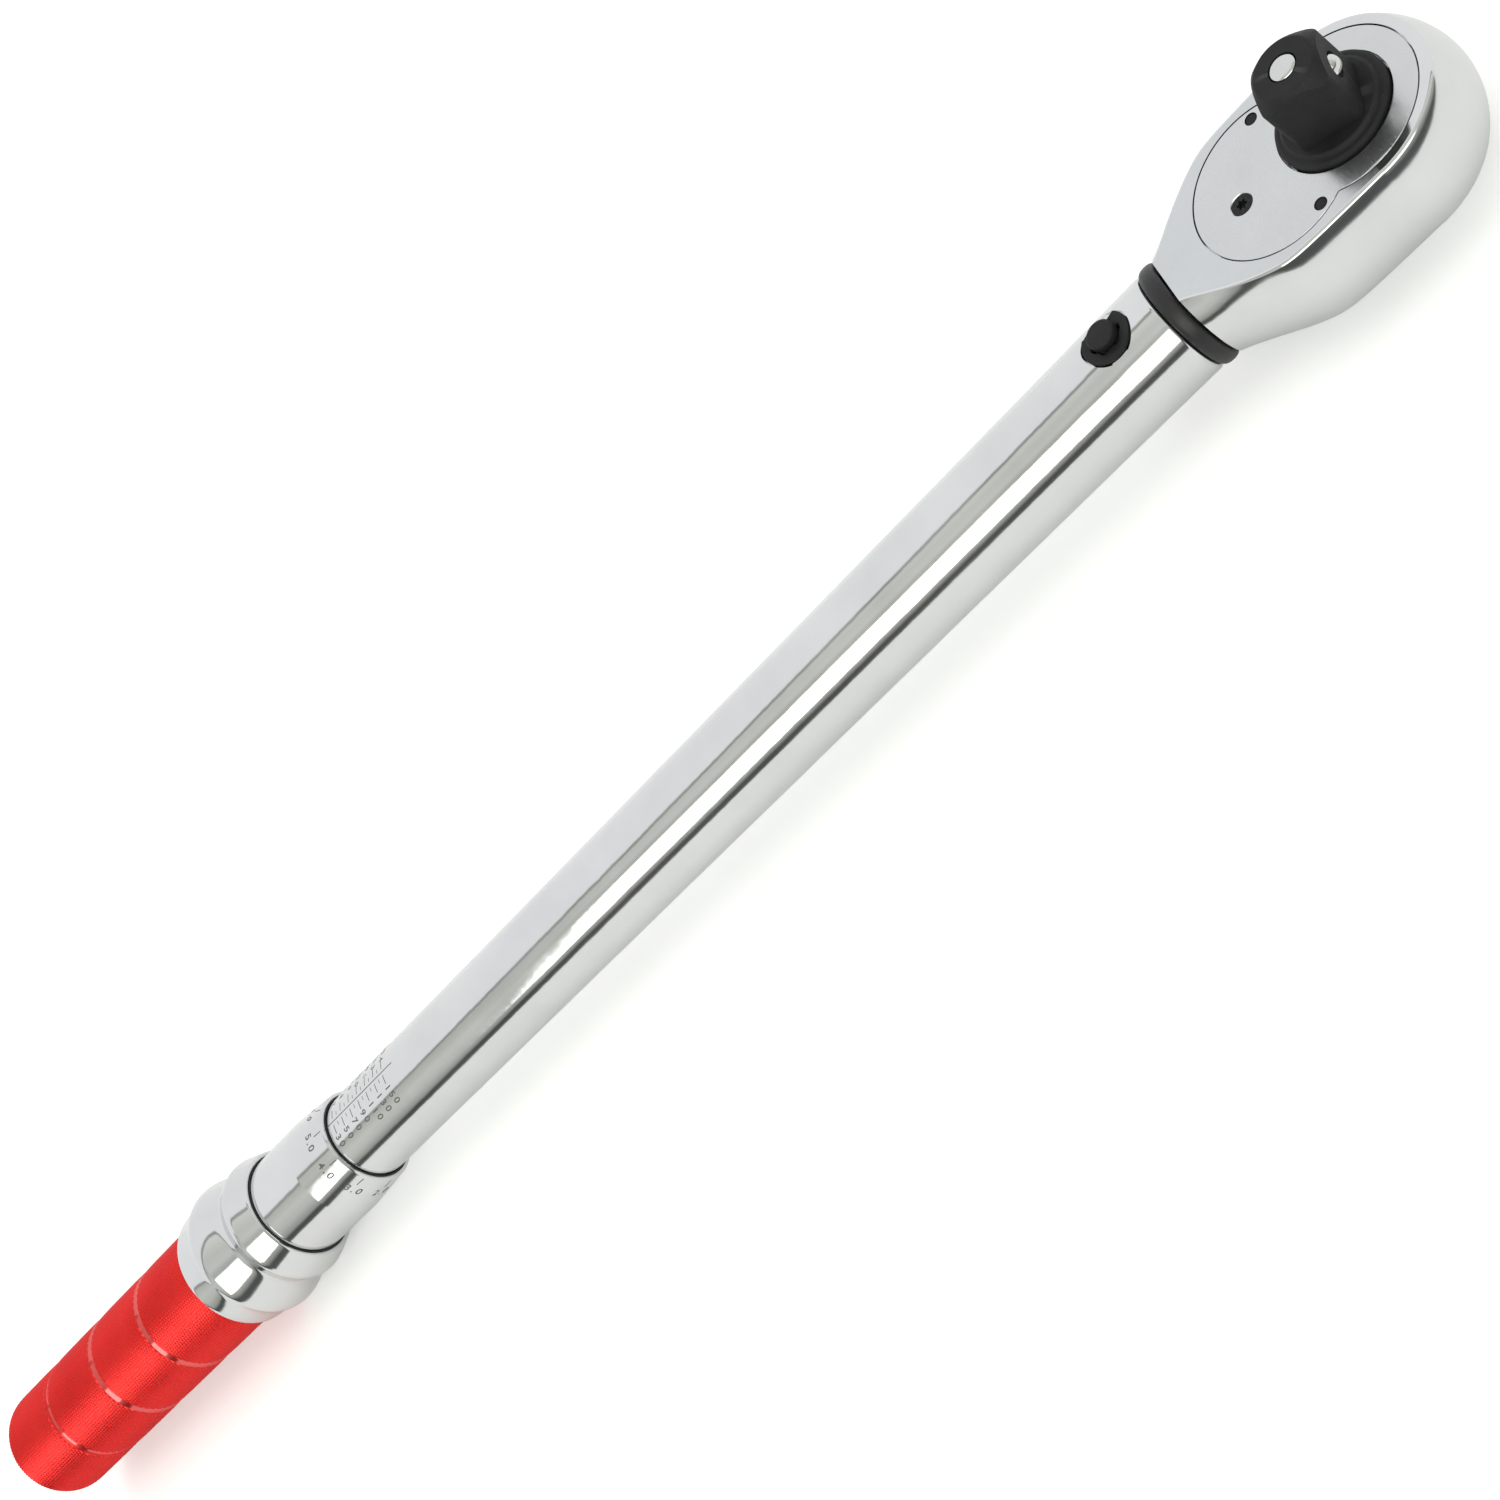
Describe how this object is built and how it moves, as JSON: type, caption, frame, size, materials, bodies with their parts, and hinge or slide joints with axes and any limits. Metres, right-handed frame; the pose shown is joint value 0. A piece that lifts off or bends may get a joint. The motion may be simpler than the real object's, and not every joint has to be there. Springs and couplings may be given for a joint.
{
  "type": "click-type torque wrench",
  "caption": "Half-inch drive micrometer torque wrench: ratchet head with square drive and reversing lever, plated tube, scale sleeve, pull-back lock collar and knurled anodised grip.",
  "frame": {"origin": "on the drive axis, at the round pad on the back of the ratchet head", "axes": "+X along the tube from the grip to the head, +Z along the drive axis out of the square, +Y across"},
  "size_m": [0.4955, 0.042, 0.0455],
  "materials": {
    "chrome": "bright chrome plate",
    "satin_steel": "satin ground steel",
    "black_oxide": "oiled black oxide on steel",
    "spring_steel": "oil-tempered spring steel",
    "rubber": "matt black nitrile rubber",
    "brass": "turned bronze",
    "red_anodised": "red anodised aluminium with a fine diamond knurl"
  },
  "bodies": {
    "tube": {"torque_tube": "chrome", "pivot_pin": "black_oxide", "pivot_clip": "black_oxide", "seal_ring": "rubber", "main_spring": "spring_steel", "adjusting_nut": "brass", "nut_pin_1": "satin_steel", "nut_pin_2": "satin_steel"},
    "head": {"ratchet_head": "chrome", "cover_plate": "satin_steel", "cover_pin_1": "black_oxide", "cover_pin_2": "black_oxide", "thrust_washer": "brass", "pawl_pin": "satin_steel"},
    "drive": {"drive_gear": "black_oxide", "release_spring": "spring_steel"},
    "release": {"release_pin": "satin_steel"},
    "ball": {"detent_ball": "satin_steel"},
    "pawl": {"pawl": "satin_steel"},
    "lever": {"reverse_lever": "chrome", "selector_plunger": "satin_steel", "selector_spring": "spring_steel", "selector_screw": "black_oxide"},
    "tumbler": {"tumbler_block": "satin_steel"},
    "plunger": {"plunger": "satin_steel"},
    "thrust": {"spring_seat": "satin_steel", "thrust_ball": "satin_steel"},
    "handle": {"thimble_sleeve": "chrome", "sleeve_wiper": "rubber", "lock_ball_1": "satin_steel", "lock_ball_2": "satin_steel", "lock_ball_3": "satin_steel", "lock_spring": "spring_steel", "grip": "red_anodised", "grip_set_screw": "black_oxide", "adjusting_screw": "satin_steel", "screw_locknut": "satin_steel", "end_plug": "black_oxide"},
    "collar": {"lock_collar": "chrome", "collar_wiper": "rubber"}
  },
  "joints": [
    {"name": "head_tilt", "type": "hinge", "parent": "tube", "child": "head", "pos_m": [-0.0544, 0, 0.0106], "axis": [0, 0, -1], "range_deg": [0, 2], "stiffness_Nm_per_rad": 20, "springref_deg": -8.59},
    {"name": "drive_spin", "type": "hinge", "parent": "head", "child": "drive", "pos_m": [0, 0, 0.0106], "axis": [0, 0, 1], "continuous": true},
    {"name": "release_press", "type": "slide", "parent": "drive", "child": "release", "axis": [0, 0, -1], "range_m": [0, 0.0025], "stiffness_N_per_m": 600, "springref_m": -0.002, "deforming": ["release_spring"]},
    {"name": "ball_retract", "type": "slide", "parent": "drive", "child": "ball", "axis": [-0.9432, 0.3322, 0], "range_m": [0, 0.001]},
    {"name": "lever_swing", "type": "hinge", "parent": "head", "child": "lever", "pos_m": [-0.0212, 0, 0.0106], "axis": [0, 0, 1], "range_deg": [0, 44]},
    {"name": "pawl_rock", "type": "hinge", "parent": "head", "child": "pawl", "pos_m": [-0.0163, 0, 0.0106], "axis": [0, 0, 1], "range_deg": [-16.2, 0.2]},
    {"name": "tumbler_tip", "type": "hinge", "parent": "tube", "child": "tumbler", "pos_m": [-0.1084, 0, 0.0106], "axis": [0, 0, 1], "range_deg": [0, 7.2]},
    {"name": "plunger_back", "type": "slide", "parent": "tube", "child": "plunger", "axis": [-1, 0, 0], "range_m": [0, 0.0005], "deforming": ["main_spring"]},
    {"name": "thrust_feed", "type": "slide", "parent": "tube", "child": "thrust", "axis": [1, 0, 0], "range_m": [-0.00263, 0.02187], "deforming": ["main_spring"]},
    {"name": "handle_turn", "type": "hinge", "parent": "thrust", "child": "handle", "pos_m": [-0.366, 0, 0.0106], "axis": [1, 0, 0], "range_deg": [-541, 4501]},
    {"name": "lock_pull", "type": "slide", "parent": "handle", "child": "collar", "axis": [-1, 0, 0], "range_m": [0, 0.005], "stiffness_N_per_m": 1500, "springref_m": -0.002, "deforming": ["lock_spring"]}
  ],
  "couplings": [
    {"joint": "ball_retract", "follows": "release_press", "ratio": 0.38},
    {"joint": "pawl_rock", "follows": "lever_swing", "ratio": -0.36364},
    {"joint": "tumbler_tip", "follows": "head_tilt", "ratio": 3.55},
    {"joint": "plunger_back", "follows": "head_tilt", "m_per_rad": 0.013},
    {"joint": "handle_turn", "follows": "thrust_feed", "rad_per_m": 3590.4}
  ]
}
